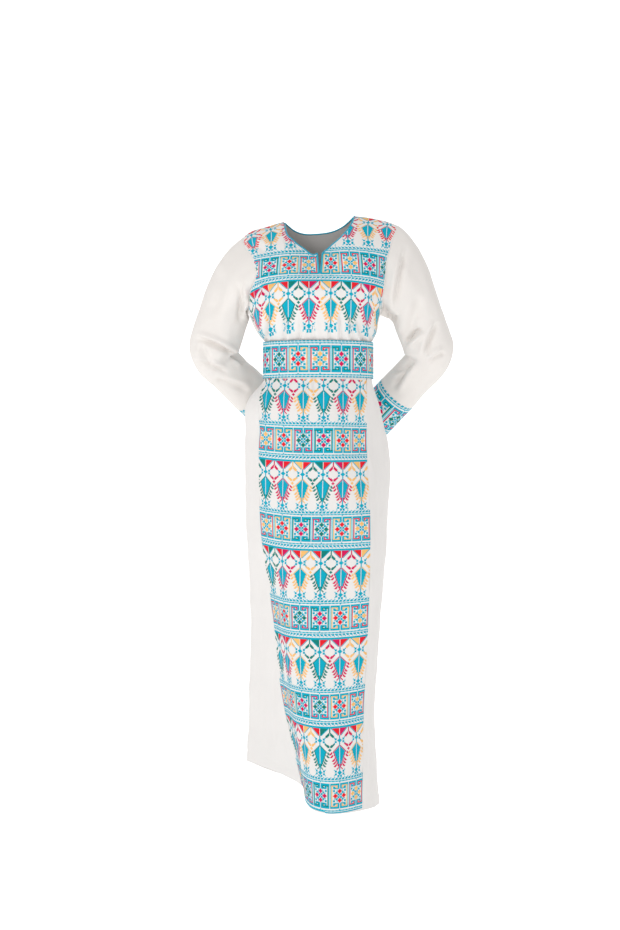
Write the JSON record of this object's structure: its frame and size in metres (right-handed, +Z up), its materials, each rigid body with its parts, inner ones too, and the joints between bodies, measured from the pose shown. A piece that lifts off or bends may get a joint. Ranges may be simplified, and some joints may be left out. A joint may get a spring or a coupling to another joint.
{
  "type": "embroidered palestinian thobe dress",
  "caption": "Ankle-length white thobe held open as worn, with cross-stitched bodice front, skirt panel, belt and cuffs and a slit neckline.",
  "frame": {"origin": "between the shoulders, level with the neck end of the left shoulder line, where the wearer's shoulders carry the dress", "axes": "+Z up, front towards -Y, the wearer's left towards +X"},
  "size_m": [0.6368, 0.3831, 1.4082],
  "materials": {
    "white_cloth": "matt, softly creased plain-weave white cloth",
    "embroidered_cloth": "white cloth worked with turquoise, red, magenta, yellow and green cross stitch",
    "turquoise_band": "band covered in turquoise cross stitch with small coloured motifs",
    "binding": "thin turquoise thread edging"
  },
  "bodies": {
    "root": {"bodice_front": "embroidered_cloth", "bodice_back": "white_cloth", "sleeve_left": "white_cloth", "sleeve_right": "white_cloth", "cuff_left": "turquoise_band", "cuff_right": "turquoise_band", "belt": "turquoise_band", "skirt_front_panel": "embroidered_cloth", "skirt_side_left": "white_cloth", "skirt_side_right": "white_cloth", "skirt_back": "white_cloth", "neck_binding": "binding"}
  },
  "joints": []
}
